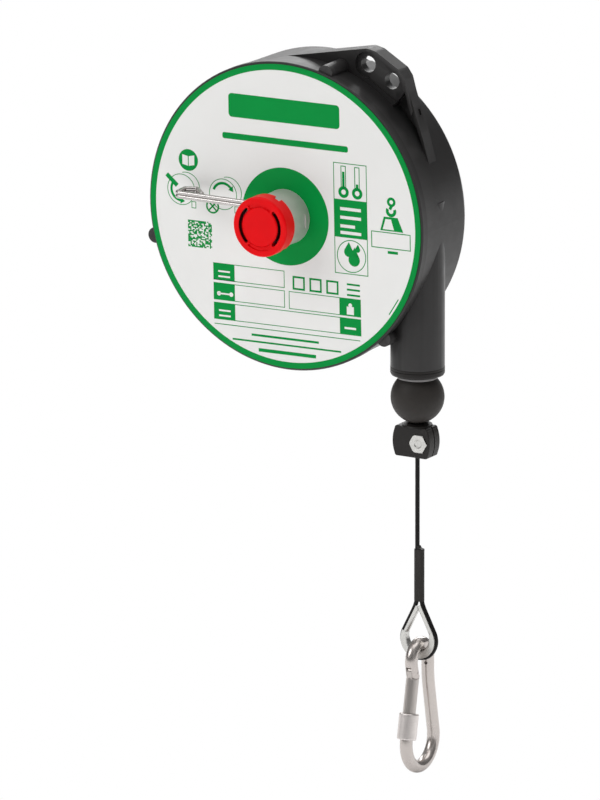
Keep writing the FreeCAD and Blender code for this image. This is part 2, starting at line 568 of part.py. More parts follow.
def clamp_outline(y, inset=0.0):
    kx, kz = 1 - inset / (CLAMP_W / 2.0), 1 - inset / (CLAMP_H / 2.0)
    P = lambda a, b: V(CLAMP_X + a * kx, y, cz + b * kz)
    return Part.Wire([
        line(P(-hwid + rc, hh), P(hwid - rc, hh)),
        arc3(P(hwid - rc, hh), P(hwid - rc * 0.30, hh - rc * 0.30), P(hwid, hh - rc)),
        arc3(P(hwid, hh - rc), P(hwid + bulge, 0), P(hwid, -hh + rc)),
        arc3(P(hwid, -hh + rc), P(hwid - rc * 0.30, -hh + rc * 0.30), P(hwid - rc, -hh)),
        line(P(hwid - rc, -hh), P(-hwid + rc, -hh)),
        arc3(P(-hwid + rc, -hh), P(-hwid + rc * 0.30, -hh + rc * 0.30), P(-hwid, -hh + rc)),
        arc3(P(-hwid, -hh + rc), P(-hwid - bulge, 0), P(-hwid, hh - rc)),
        arc3(P(-hwid, hh - rc), P(-hwid + rc * 0.30, hh - rc * 0.30), P(-hwid + rc, hh))])


cy0, cy1 = ROPE_Y - CLAMP_D / 2.0, ROPE_Y + CLAMP_D / 2.0
gap = CLAMP_GAP / 2.0


def clamp_half(outer, inner):
    """Half of the block, its outer edge rounded in two steps."""
    q = 1 if inner > outer else -1
    rim = Part.makeLoft([clamp_outline(outer, 0.5), clamp_outline(outer + 0.15 * q, 0.15), clamp_outline(outer + 0.5 * q)], True, True)
    return rim.fuse(Part.Face(clamp_outline(outer + 0.5 * q)).extrude(V(0, inner - outer - 0.5 * q, 0)))


front = clamp_half(cy0, ROPE_Y - gap)
rear = clamp_half(cy1, ROPE_Y + gap)
rope_hole = cyl_z(ROPE_X, ROPE_Y, ROPE_R, -140, -110)
screw_hole = cyl_y(CLAMP_SCREW_X, CLAMP_SCREW_Z, 3.08, 0, 50)
front = front.cut(rope_hole).cut(screw_hole).cut(hexagon(CLAMP_SCREW_X, CLAMP_SCREW_Z, HEX_AF + 0.5, cy0 - 1, cy0 + 3.5))
rear = rear.cut(rope_hole).cut(screw_hole).cut(hexagon(CLAMP_SCREW_X, CLAMP_SCREW_Z, HEX_AF + 0.1, cy1 - 4.0, cy1 + 1))
put("clamp_front", front)
put("clamp_rear", rear)
head = hexagon(CLAMP_SCREW_X, CLAMP_SCREW_Z, HEX_AF, cy0 - 0.5, cy0 + 3.5)
head = head.common(Part.makeCone(5.35, 9.35, 4.0, V(CLAMP_SCREW_X, cy0 - 0.5, CLAMP_SCREW_Z), Y))
head = head.cut(Part.makeCone(2.5, 2.0, 0.5, V(CLAMP_SCREW_X, cy0 - 0.5, CLAMP_SCREW_Z), Y))
# shank reduced beside the rope, full thread behind it
cs = head.fuse(cyl_y(CLAMP_SCREW_X, CLAMP_SCREW_Z, 2.6, cy0 + 3.0, ROPE_Y + 1.7)).fuse(
    cyl_y(CLAMP_SCREW_X, CLAMP_SCREW_Z, 3.0, ROPE_Y + 1.6, cy1 - 0.6)).removeSplitter()
put("clamp_screw", cs)
nut = hexagon(CLAMP_SCREW_X, CLAMP_SCREW_Z, HEX_AF, cy1 - 4.0, cy1 - 0.2).cut(cyl_y(CLAMP_SCREW_X, CLAMP_SCREW_Z, 3.0, 0, 50))
put("clamp_nut", nut)


def oval(x0, x1, half, z0, z1, y=ROPE_Y):
    s = box(x0, x1, y - half, y + half, z0, z1)
    return s.fuse(cyl_z(x0, y, half, z0, z1)).fuse(cyl_z(x1, y, half, z0, z1)).removeSplitter()


strand_gap = cyl_z(ROPE_X, ROPE_Y, ROPE_R, -230, -180).fuse(cyl_z(ROPE2_X, ROPE_Y, ROPE_R, -230, -180))
ferrule = oval(ROPE_X, ROPE2_X, ROPE_R + 0.3, FERRULE_Z0, FERRULE_Z1).cut(strand_gap)
put("rope_ferrule", ferrule)
sleeve = oval(ROPE_X, ROPE2_X, ROPE_R + 0.58, SLEEVE_Z0, SLEEVE_Z1)
# shoulder where the tube closes over the cut end of the return strand
shoulder = Part.Wire([line(V(p[0], ROPE_Y - 1.35, p[1]), V(q[0], ROPE_Y - 1.35, q[1])) for p, q in (
    ((73.0, SLEEVE_Z1 - 1.0), (73.0, SLEEVE_TIP)), ((73.0, SLEEVE_TIP), (73.9, SLEEVE_TIP)), ((73.9, SLEEVE_TIP), (74.5, SLEEVE_TIP - 1.2)),
    ((74.5, SLEEVE_TIP - 1.2), (76.4, SLEEVE_Z1 + 0.2)), ((76.4, SLEEVE_Z1 + 0.2), (76.4, SLEEVE_Z1 - 1.0)),
    ((76.4, SLEEVE_Z1 - 1.0), (73.0, SLEEVE_Z1 - 1.0)))])
sleeve = sleeve.fuse(Part.Face(shoulder).extrude(V(0, 2.7, 0))).removeSplitter()
sleeve = sleeve.cut(oval(ROPE_X, ROPE2_X, ROPE_R + 0.3, FERRULE_Z0, FERRULE_Z1))
sleeve = sleeve.cut(cyl_z(ROPE_X, ROPE_Y, ROPE_R, -230, -180)).cut(cyl_z(ROPE2_X, ROPE_Y, ROPE_R, -230, -191.9))
put("shrink_sleeve", sleeve)

# thimble: grooved channel in a teardrop, open at the top
def channel(y, centre_r, dirx, dirz, px, pz, flange, inner):
    """Section of the channel across the route: u points outwards."""
    hf = THIMBLE_HALF
    inn = inner - centre_r
    fl = flange - centre_r
    g = ROPE_R + 0.1
    P = lambda u, v: V(px + dirx * u, y + v, pz + dirz * u)
    if fl > 0:
        groove = [line(P(fl, -hf), P(fl, -g)), line(P(fl, -g), P(0, -g)), arc3(P(0, -g), P(-g, 0), P(0, g)),
                  line(P(0, g), P(fl, g)), line(P(fl, g), P(fl, hf))]
    else:
        w = math.sqrt(g * g - fl * fl)
        groove = [line(P(fl, -hf), P(fl, -w)), arc3(P(fl, -w), P(-g, 0), P(fl, w)), line(P(fl, w), P(fl, hf))]
    return Part.Wire(groove + [
        line(P(fl, hf), P(inn + 2.1, hf)),
        arc3(P(inn + 2.1, hf), P(inn, 0), P(inn + 2.1, -hf)),
        line(P(inn + 2.1, -hf), P(fl, -hf))])


lx, lz = tangent_point(ROPE_X, APEX_Z, THIMBLE_X, THIMBLE_Z, THIMBLE_ROPE, -1)
rx, rz = tangent_point(ROPE2_X, APEX_Z, THIMBLE_X, THIMBLE_Z, THIMBLE_ROPE, +1)
al = math.atan2(lz - THIMBLE_Z, lx - THIMBLE_X)
ar = math.atan2(rz - THIMBLE_Z, rx - THIMBLE_X)
sweep_deg = 360.0 - math.degrees(al - ar)
crown = Part.Face(channel(ROPE_Y, THIMBLE_ROPE, math.cos(al), math.sin(al), lx, lz, THIMBLE_FLANGE, THIMBLE_IN)).revolve(
    V(THIMBLE_X, 0, THIMBLE_Z), V(0, -1, 0), sweep_deg)
LEG_IN = THIMBLE_EYE_R
leg_l = Part.Face(channel(ROPE_Y, THIMBLE_ROPE, math.cos(al), math.sin(al), lx, lz, THIMBLE_LEG_FLANGE, LEG_IN)).extrude(
    V(ROPE_X - lx, 0, APEX_Z - lz).multiply(0.93))
leg_r = Part.Face(channel(ROPE_Y, THIMBLE_ROPE, math.cos(ar), math.sin(ar), rx, rz, THIMBLE_FLANGE, LEG_IN)).extrude(
    V(ROPE2_X - rx, 0, APEX_Z - rz).multiply(0.93))
top_cut = 0.12
leg_l = leg_l.common(box(0, THIMBLE_X - top_cut, 0, 60, -300, -222.6))
leg_r = leg_r.common(box(THIMBLE_X + top_cut, 150, 0, 60, -300, -222.6))
crown = crown.cut(cyl_y(THIMBLE_X, THIMBLE_Z + THIMBLE_EYE_UP, THIMBLE_EYE_R, 10, 40))
thimble = crown.fuse(leg_l).fuse(leg_r).removeSplitter()
print("thimble solids", len(thimble.Solids), "sweep", sweep_deg)
put("thimble", thimble)

# ------------------------------------------------------------------ carabiner
ga, sa = math.radians(GATE_TILT), math.radians(SPINE_TILT)
P = lambda a, b: V(CARAB_X, a, b)
# tangent points of the two straight sides on the wide end
Tb = P(CARAB_Y - ARC_BOT * math.cos(ga), BOW_Z + ARC_BOT * math.sin(ga))
Ub = P(CARAB_Y + ARC_BOT * math.cos(sa), BOW_Z + ARC_BOT * math.sin(sa))
spine_knee = P(Ub.y - (KNEE_SPINE_Z - Ub.z) * math.tan(sa), KNEE_SPINE_Z)
gate_knee = P(*KNEE_GATE)
# tangents from the two bends up to the narrow eye
t1 = tangent_point(gate_knee.y, gate_knee.z, EYE_Y, EYE_Z, ARC_TOP, +1)
t2 = tangent_point(spine_knee.y, spine_knee.z, EYE_Y, EYE_Z, ARC_TOP, -1)
T1, T2 = P(*t1), P(*t2)
print("eye tangents", T1, T2)
d = Tb.sub(gate_knee)
gate_len = d.Length
d.normalize()
stub = gate_knee.sub(T1)
stub.normalize()
H = gate_knee.sub(stub * PIN_UP)


def down(s):
    """Point on the gate's axis, s below the bend."""
    return gate_knee.add(d * s)


# back of the frame with its bend rounded
k = 7.0
u_up = T2.sub(spine_knee)
u_up.normalize()
u_dn = Ub.sub(spine_knee)
u_dn.normalize()
k1, k2 = spine_knee.add(u_up * k), spine_knee.add(u_dn * k)
half = math.acos(max(-1.0, min(1.0, u_up.dot(u_dn)))) / 2.0
rad = k * math.tan(half)
bis = u_up.add(u_dn)
bis.normalize()
cen = spine_knee.add(bis * (k / math.cos(half)))
mid = cen.sub(bis * rad)
bar_edges = [line(H.add(stub * (FORK_R + 0.6)), T1), arc3(T1, P(EYE_Y, EYE_Z + ARC_TOP), T2), line(T2, k1),
             arc3(k1, mid, k2), line(k2, Ub), arc3(Ub, P(CARAB_Y, BOW_Z - ARC_BOT), Tb)]
frame = pipe(bar_edges, BAR_R)
# round the fork end about the pin and slot it for the gate's tab
near = cyl_x(H.y, H.z, FORK_R, CARAB_X - 6, CARAB_X + 6)
below = cyl_between(H, H.add(stub * 8.0), 5.5)
frame = frame.cut(below.cut(near))
sl = Part.makeBox(3.4, 14.0, 12.0, V(-1.7, -7.0, -12.0))
stub_ang = math.degrees(math.atan2(stub.y, -stub.z))
sl.rotate(V(0, 0, 0), V(1, 0, 0), stub_ang)
sl.translate(H.sub(stub * 3.7))
frame = frame.cut(sl)
frame = frame.cut(cyl_x(H.y, H.z, 1.0, CARAB_X - 6, CARAB_X + 6))
frame = frame.cut(cyl_between(H.sub(stub * 3.3), H.sub(stub * 6.4), 0.95))
# small blind hole in the back's inner side, below the eye
frame = frame.cut(cyl_y(CARAB_X + 0.7, -257.7, 0.95, 20.0, 31.0))
put("carabiner_frame", frame)
put("gate_pin", cyl_x(H.y, H.z, 1.0, CARAB_X - 3.4, CARAB_X + 3.4))
put("gate_spring", cyl_between(H.sub(stub * 3.75), H.sub(stub * 6.3), 0.9))
gate_end = gate_len - GATE_GAP
rod = cyl_between(down(-1.5), down(gate_end), GATE_R)
rod = rod.cut(cyl_x(H.y, H.z, FORK_R + 0.3, CARAB_X - 6, CARAB_X + 6))
tab = cyl_x(H.y, H.z, 3.2, CARAB_X - 1.5, CARAB_X + 1.5)
tb = box(CARAB_X - 1.5, CARAB_X + 1.5, H.y - 2.9, H.y + 2.9, H.z - 8.0, H.z)
gate = rod.fuse(tab).fuse(tb).removeSplitter()
gate = gate.cut(cyl_x(H.y, H.z, 1.06, CARAB_X - 6, CARAB_X + 6))
print("gate solids", len(gate.Solids), "frame solids", len(frame.Solids))
put("gate", gate)
sleeve_body = cyl_between(down(gate_end - SLEEVE_LEN), down(gate_end), SLEEVE_R)
sleeve_body = fillet_where(sleeve_body, 0.7, lambda e: e.Curve.TypeId == 'Part::GeomCircle', "screw sleeve")
sleeve_body = sleeve_body.cut(cyl_between(down(gate_end - SLEEVE_LEN - 1), down(gate_end + 1), GATE_R + 0.09))
put("screw_sleeve", sleeve_body)
print("hinge pin", H.add(ORIGIN), "sleeve axis up", -d.y, -d.z, "gate length", gate_len)

# ---------------------------------------------------------------- wire lever
tip_x = -60.9


def lever_strand(dz):
    z = WIRE_Z + dz
    Q = lambda a, b: V(a, b, z)
    return rounded_path([Q(LEVER_PIN_X - 1.2, LEVER_Y), Q(tip_x, LEVER_Y), Q(tip_x - 0.4, -7.4), Q(-54.6, -4.6), Q(-46.8, -13.5)],
                        [1.7, 2.0, 2.2])


upper = pipe(lever_strand(WIRE_R - 0.06), WIRE_R)
lower = pipe(lever_strand(0.06 - WIRE_R), WIRE_R)
e = lever_strand(0.0)[-1]
pe = e.valueAt(e.LastParameter)
bend = Part.makeSphere(WIRE_R, V(pe.x, pe.y, pe.z + WIRE_R)).fuse(Part.makeSphere(WIRE_R, V(pe.x, pe.y, pe.z - WIRE_R)))
bend = bend.fuse(cyl_z(pe.x, pe.y, WIRE_R, WIRE_Z - WIRE_R, WIRE_Z + WIRE_R))
eye = cyl_z(LEVER_PIN_X, LEVER_PIN_Y, 1.8, LEVER_Z - 1.8, LEVER_Z + 1.8)
lever = eye.fuse(upper).fuse(lower).fuse(bend).cut(cyl_z(LEVER_PIN_X, LEVER_PIN_Y, 1.04, 0, 30)).removeSplitter()
print("lever solids", len(lever.Solids))
put("wire_lever", lever)
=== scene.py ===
import math
import random

import bmesh
import bpy
from mathutils import Matrix, Vector


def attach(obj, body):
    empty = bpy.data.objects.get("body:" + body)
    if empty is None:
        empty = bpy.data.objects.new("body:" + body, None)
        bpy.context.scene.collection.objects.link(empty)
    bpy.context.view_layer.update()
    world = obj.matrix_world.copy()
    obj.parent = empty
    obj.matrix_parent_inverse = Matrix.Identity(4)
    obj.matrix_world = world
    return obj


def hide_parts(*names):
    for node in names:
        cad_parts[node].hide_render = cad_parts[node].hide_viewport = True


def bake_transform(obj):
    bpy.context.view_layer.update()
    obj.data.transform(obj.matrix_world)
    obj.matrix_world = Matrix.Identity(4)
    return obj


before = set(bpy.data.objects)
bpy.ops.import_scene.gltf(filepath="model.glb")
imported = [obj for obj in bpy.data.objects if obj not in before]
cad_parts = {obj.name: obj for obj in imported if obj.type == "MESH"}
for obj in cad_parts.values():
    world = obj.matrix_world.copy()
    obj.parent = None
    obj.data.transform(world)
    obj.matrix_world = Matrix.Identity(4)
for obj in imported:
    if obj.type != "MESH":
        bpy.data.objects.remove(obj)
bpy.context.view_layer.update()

# Drawing frame used below: origin on the drum axis at the dial's front face,
# X right, Y into the housing, Z up, in millimetres.  L() turns it into the row
# frame, in metres.
HOOK = (56.7, 25.0, 81.2)
random.seed(7)
WORLD, SUN_KEY, SUN_TOP, AREA_L, AREA_R, AREA_B, GLOW = 0.55, 0.80, 1.3, 5.4, 0.8, 34.0, 0.26


def L(x, y, z):
    return Vector(((x - HOOK[0]) / 1000.0, (y - HOOK[1]) / 1000.0, (z - HOOK[2]) / 1000.0))


# ------------------------------------------------------------------ camera
AZ, EL = math.radians(30.24), math.radians(14.60)
LENS, SENSOR = 1250.0, 36.0
FRAME_H = 800 / 1.765 / 1000.0
target = L(-4.4, 24.0, -113.4)
back = Vector((math.sin(AZ) * math.cos(EL), -math.cos(AZ) * math.cos(EL), math.sin(EL)))
cam_data = bpy.data.cameras.new("camera")
cam_data.lens = LENS
cam_data.sensor_fit = "VERTICAL"
cam_data.sensor_height = SENSOR
cam_data.clip_end = 100.0
cam_data.shift_y = 0.00075
cam = bpy.data.objects.new("camera", cam_data)
bpy.context.scene.collection.objects.link(cam)
cam.location = target + back * (FRAME_H * LENS / SENSOR)
cam.rotation_euler = back.to_track_quat("Z", "Y").to_euler()
bpy.context.scene.camera = cam
bpy.context.scene.view_settings.view_transform = "Standard"


# --------------------------------------------------------------- materials
def lin(c):
    c = c / 255.0
    return c / 12.92 if c <= 0.04045 else ((c + 0.055) / 1.055) ** 2.4


def rgb(r, g, b):
    return (lin(r), lin(g), lin(b), 1.0)


def material(name, base, rough=0.5, metal=0.0, vary=0.06, vary_scale=40.0, rough_vary=0.08,
             bump=0.0, bump_scale=800.0, wear=0.0, wear_colour=None, streak=None, coat=0.0,
             coat_rough=0.2, spec=0.5, aniso=0.0):
    """Principled material: mottled colour, uneven roughness, fine surface bump,
    lighter worn edges, and streaks along an axis for brushed or drawn metal."""
    m = bpy.data.materials.new(name)
    m.use_nodes = True
    nt = m.node_tree
    nt.nodes.clear()
    out = nt.nodes.new("ShaderNodeOutputMaterial")
    p = nt.nodes.new("ShaderNodeBsdfPrincipled")
    nt.links.new(p.outputs[0], out.inputs[0])
    p.inputs["Metallic"].default_value = metal
    p.inputs["Coat Weight"].default_value = coat
    p.inputs["Coat Roughness"].default_value = coat_rough
    p.inputs["Specular IOR Level"].default_value = spec
    p.inputs["Anisotropic"].default_value = aniso
    tc = nt.nodes.new("ShaderNodeTexCoord")
    mp = nt.nodes.new("ShaderNodeMapping")
    nt.links.new(tc.outputs["Object"], mp.inputs["Vector"])
    if streak:
        mp.inputs["Scale"].default_value = streak
    n1 = nt.nodes.new("ShaderNodeTexNoise")
    n1.inputs["Scale"].default_value = vary_scale
    n1.inputs["Detail"].default_value = 5.0
    nt.links.new(mp.outputs[0], n1.inputs["Vector"])
    ramp = nt.nodes.new("ShaderNodeValToRGB")
    lo = tuple(max(0.0, v * (1 - vary)) for v in base[:3]) + (1.0,)
    hi = tuple(min(1.0, v * (1 + vary)) for v in base[:3]) + (1.0,)
    ramp.color_ramp.elements[0].position, ramp.color_ramp.elements[0].color = 0.3, lo
    ramp.color_ramp.elements[1].position, ramp.color_ramp.elements[1].color = 0.7, hi
    nt.links.new(n1.outputs["Fac"], ramp.inputs[0])
    colour = ramp.outputs[0]
    if wear > 0:
        geo = nt.nodes.new("ShaderNodeNewGeometry")
        wr = nt.nodes.new("ShaderNodeMapRange")
        wr.inputs["From Min"].default_value = 0.53
        wr.inputs["From Max"].default_value = 0.62
        wr.inputs["To Max"].default_value = wear
        nt.links.new(geo.outputs["Pointiness"], wr.inputs["Value"])
        mix = nt.nodes.new("ShaderNodeMix")
        mix.data_type = "RGBA"
        mix.inputs["B"].default_value = wear_colour or (0.25, 0.25, 0.25, 1)
        # the colour sockets of the mix node are the last pair
        cs = [s for s in mix.inputs if s.type == "RGBA"]
        nt.links.new(wr.outputs[0], mix.inputs[0])
        nt.links.new(colour, cs[0])
        cs[1].default_value = wear_colour or (0.25, 0.25, 0.25, 1)
        colour = [s for s in mix.outputs if s.type == "RGBA"][0]
    nt.links.new(colour, p.inputs["Base Color"])
    n2 = nt.nodes.new("ShaderNodeTexNoise")
    n2.inputs["Scale"].default_value = vary_scale * 3.1
    n2.inputs["Detail"].default_value = 4.0
    nt.links.new(mp.outputs[0], n2.inputs["Vector"])
    mr = nt.nodes.new("ShaderNodeMapRange")
    mr.inputs["To Min"].default_value = max(0.02, rough - rough_vary)
    mr.inputs["To Max"].default_value = min(1.0, rough + rough_vary)
    nt.links.new(n2.outputs["Fac"], mr.inputs["Value"])
    nt.links.new(mr.outputs[0], p.inputs["Roughness"])
    if bump > 0:
        n3 = nt.nodes.new("ShaderNodeTexNoise")
        n3.inputs["Scale"].default_value = bump_scale
        n3.inputs["Detail"].default_value = 3.0
        nt.links.new(mp.outputs[0], n3.inputs["Vector"])
        bp = nt.nodes.new("ShaderNodeBump")
        bp.inputs["Strength"].default_value = bump
        bp.inputs["Distance"].default_value = 0.0001
        nt.links.new(n3.outputs["Fac"], bp.inputs["Height"])
        nt.links.new(bp.outputs[0], p.inputs["Normal"])
    return m


M = {
    "housing": material("housing_coat", rgb(41, 40, 40), 0.38, vary=0.10, vary_scale=60, bump=0.15,
                        bump_scale=1600, wear=0.4, wear_colour=rgb(84, 83, 83), spec=0.20),
    "plate": material("dial_white", rgb(233, 233, 231), 0.38, vary=0.012, vary_scale=30, bump=0.04, bump_scale=900),
    "green": material("dial_green", rgb(0, 143, 62), 0.42, vary=0.03, vary_scale=50, bump=0.03, bump_scale=900, spec=0.08),
    "rubber": material("buffer_rubber", rgb(38, 34, 31), 0.62, vary=0.10, vary_scale=120, bump=0.25, bump_scale=2200, spec=0.35),
    "black": material("black_plastic", rgb(25, 22, 20), 0.48, vary=0.10, vary_scale=90, bump=0.15, bump_scale=1800, spec=0.3),
    "red": material("knob_red", rgb(228, 0, 10), 0.32, vary=0.05, vary_scale=70, bump=0.08, bump_scale=1200,
                    wear=0.06, wear_colour=rgb(240, 40, 40), spec=0.10),
    "pale": material("guide_grey", rgb(132, 130, 130), 0.5, vary=0.05, vary_scale=80, bump=0.1, bump_scale=1500),
    "cast": material("cast_silver", rgb(198, 194, 191), 0.38, metal=0.38, vary=0.06, vary_scale=90, bump=0.22,
                     bump_scale=1400, rough_vary=0.10),
    "alloy": material("drum_alloy", rgb(190, 190, 192), 0.38, metal=1.0, vary=0.06, streak=(1, 8, 1), bump=0.1),
    "bright": material("bright_steel", rgb(190, 188, 184), 0.28, metal=1.0, vary=0.05, streak=(1, 1, 6), bump=0.06),
    "zinc": material("zinc_plate", rgb(196, 195, 192), 0.33, metal=1.0, vary=0.05, vary_scale=140, bump=0.08, bump_scale=1500),
    "stainless": material("stainless", rgb(186, 179, 175), 0.26, metal=0.88, vary=0.05, vary_scale=70, rough_vary=0.07,
                          bump=0.07, bump_scale=900, streak=(1, 1, 0.25)),
    "lever": material("lever_wire", rgb(182, 178, 176), 0.26, metal=0.96, vary=0.05, vary_scale=70, rough_vary=0.06,
                      bump=0.06, bump_scale=900),
    "gate": material("stainless_gate", rgb(180, 174, 170), 0.30, metal=0.85, vary=0.05, vary_scale=70, bump=0.07,
                     bump_scale=900, streak=(1, 1, 0.25)),
    "sleeve": material("stainless_sleeve", rgb(214, 208, 205), 0.40, metal=1.0, vary=0.04, vary_scale=120, bump=0.18,
                       bump_scale=1500, streak=(0.4, 0.4, 6)),
    "spring": material("spring_steel", rgb(96, 100, 108), 0.34, metal=1.0, vary=0.08, streak=(1, 6, 1), bump=0.08),
    "bronze": material("sintered_bronze", rgb(168, 132, 78), 0.46, metal=1.0, vary=0.1, vary_scale=200, bump=0.3, bump_scale=2200),
    "rope": material("rope_coat", rgb(16, 14, 13), 0.50, vary=0.12, vary_scale=300, bump=0.18, bump_scale=2600, spec=0.2),
    "shrink": material("shrink_tube", rgb(32, 29, 26), 0.50, vary=0.10, vary_scale=160, bump=0.3, bump_scale=900, spec=0.3),
}
USE = {
    "housing": "housing", "front_cover": "housing", "label_plate": "plate", "cover_seal": "rubber", "cover_screws": "zinc",
    "adjuster_boss": "cast", "boss_nut": "zinc", "front_bush": "bronze", "rear_bush": "bronze", "lever_pin": "bright",
    "arbor_shaft": "bright", "arbor_circlip": "spring", "spring_hub": "bright", "adjuster_knob": "red", "knob_cap": "red",
    "knob_screw": "zinc", "rope_drum": "alloy", "rope_anchor": "bright", "rope_on_drum": "rope", "drum_bushes": "bronze",
    "spring_cover": "alloy", "drum_screws": "zinc", "spiral_spring": "spring", "outlet_cap": "black", "guide_bush": "pale",
    "rope_upper": "rope", "rope_lower": "rope", "rubber_buffer": "rubber", "buffer_collar": "black", "clamp_front": "black",
    "clamp_rear": "black", "clamp_screw": "zinc", "clamp_nut": "zinc", "rope_ferrule": "alloy", "shrink_sleeve": "shrink",
    "thimble": "zinc", "carabiner_frame": "stainless", "gate_pin": "stainless", "gate_spring": "spring", "gate": "gate",
    "screw_sleeve": "sleeve", "wire_lever": "lever",
}
for name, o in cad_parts.items():
    m = M[USE[name]]
    if not o.material_slots:
        o.data.materials.append(m)
    for s in o.material_slots:
        s.material = m
    for f in o.data.polygons:
        f.use_smooth = True
    es = o.modifiers.new("split", "EDGE_SPLIT")
    es.split_angle = math.radians(32)


def add_object(name, data, mat, body):
    o = bpy.data.objects.new(name, data)
    bpy.context.scene.collection.objects.link(o)
    if mat is not None:
        data.materials.append(mat)
    if body:
        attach(o, body)
    return o


# -------------------------------------------------------------------- rope
def spline_points(points, name):
    """Points along a NURBS of order 3 through the route's control points."""
    cu = bpy.data.curves.new(name, "CURVE")
    cu.dimensions = "3D"
    cu.resolution_u = 72
    sp = cu.splines.new("NURBS")
    sp.points.add(len(points) - 1)
    for q, pnt in zip(sp.points, points):
        q.co = (pnt[0], pnt[1], pnt[2], 1.0)
    sp.order_u = 3
    sp.use_endpoint_u = True
    o = bpy.data.objects.new(name, cu)
    bpy.context.scene.collection.objects.link(o)
    bpy.context.view_layer.update()
    me = bpy.data.meshes.new_from_object(o.evaluated_get(bpy.context.evaluated_depsgraph_get()))
    pts = [v.co.copy() for v in me.vertices]
    bpy.data.objects.remove(o)
    bpy.data.meshes.remove(me)
    bpy.data.curves.remove(cu)
    return pts


def rope_mesh(name, pts, r, lobes=6, depth=0.05, pitch=0.018, seg=30):
    """Twisted rope: a tube whose lobed section turns as it goes along."""
    me = bpy.data.meshes.new(name)
    bm = bmesh.new()
    up = Vector((0, 1, 0))
    rings, dist, prev = [], 0.0, None
    n = len(pts)
    for i, c in enumerate(pts):
        t = (pts[min(i + 1, n - 1)] - pts[max(i - 1, 0)]).normalized()
        u = (up - t * up.dot(t)).normalized()
        w = t.cross(u)
        if prev is not None:
            dist += (c - prev).length
        prev = c
        turn = 2 * math.pi * dist / pitch
        ring = []
        for k in range(seg):
            a = 2 * math.pi * k / seg
            rr = r * (1 - depth * (1 - abs(math.cos(lobes / 2.0 * (a - turn)))) ** 2)
            ring.append(bm.verts.new(c + (u * math.cos(a) + w * math.sin(a)) * rr))
        rings.append(ring)
    for a, b in zip(rings, rings[1:]):
        for k in range(seg):
            bm.faces.new((a[k], a[(k + 1) % seg], b[(k + 1) % seg], b[k]))
    bm.faces.new(list(reversed(rings[0])))
    bm.faces.new(rings[-1])
    bmesh.ops.recalc_face_normals(bm, faces=bm.faces)
    bm.to_mesh(me)
    bm.free()
    for f in me.polygons:
        f.use_smooth = len(f.vertices) == 4
    return me


ROPE_Y, ROPE_R = 24.0, 1.30
# The route's own points, X and Z: down from the guide bush, a point near the
# place where the strands part, round the thimble, and back up beside itself.
ROUTE = ((72.5, -90.0), (72.5, -213.0), (72.5, -221.0), (66.772, -232.353), (61.285, -243.227), (67.67, -253.6),
         (79.85, -253.6), (86.235, -243.227), (80.748, -232.353), (75.02, -221.0), (75.02, -213.0), (75.02, -192.0))
line_pts = spline_points([L(x, ROPE_Y, z) for x, z in ROUTE], "route_line")
rope = add_object("rope_loop", rope_mesh("rope_loop", line_pts, ROPE_R / 1000.0), M["rope"], "rope")
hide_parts("rope_lower")

# the length inside the housing, which draws out when the rope is pulled
feed_pts = spline_points([L(72.5, ROPE_Y, 0.0), L(72.5, ROPE_Y, -45.0), L(72.5, ROPE_Y, -90.0)], "feed_line")
feed = add_object("rope_feed", rope_mesh("rope_feed", feed_pts, ROPE_R / 1000.0), M["rope"], None)
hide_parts("rope_upper")
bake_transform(feed)

# ------------------------------------------------------------- dial print
# Plain shapes only: rings, boxes, bars and simple pictograms, slightly proud of
# the plate.  The print is turned by about a degree on the plate.
TURN = math.radians(1.15)
PROUD, SUNK = 0.05, 0.04


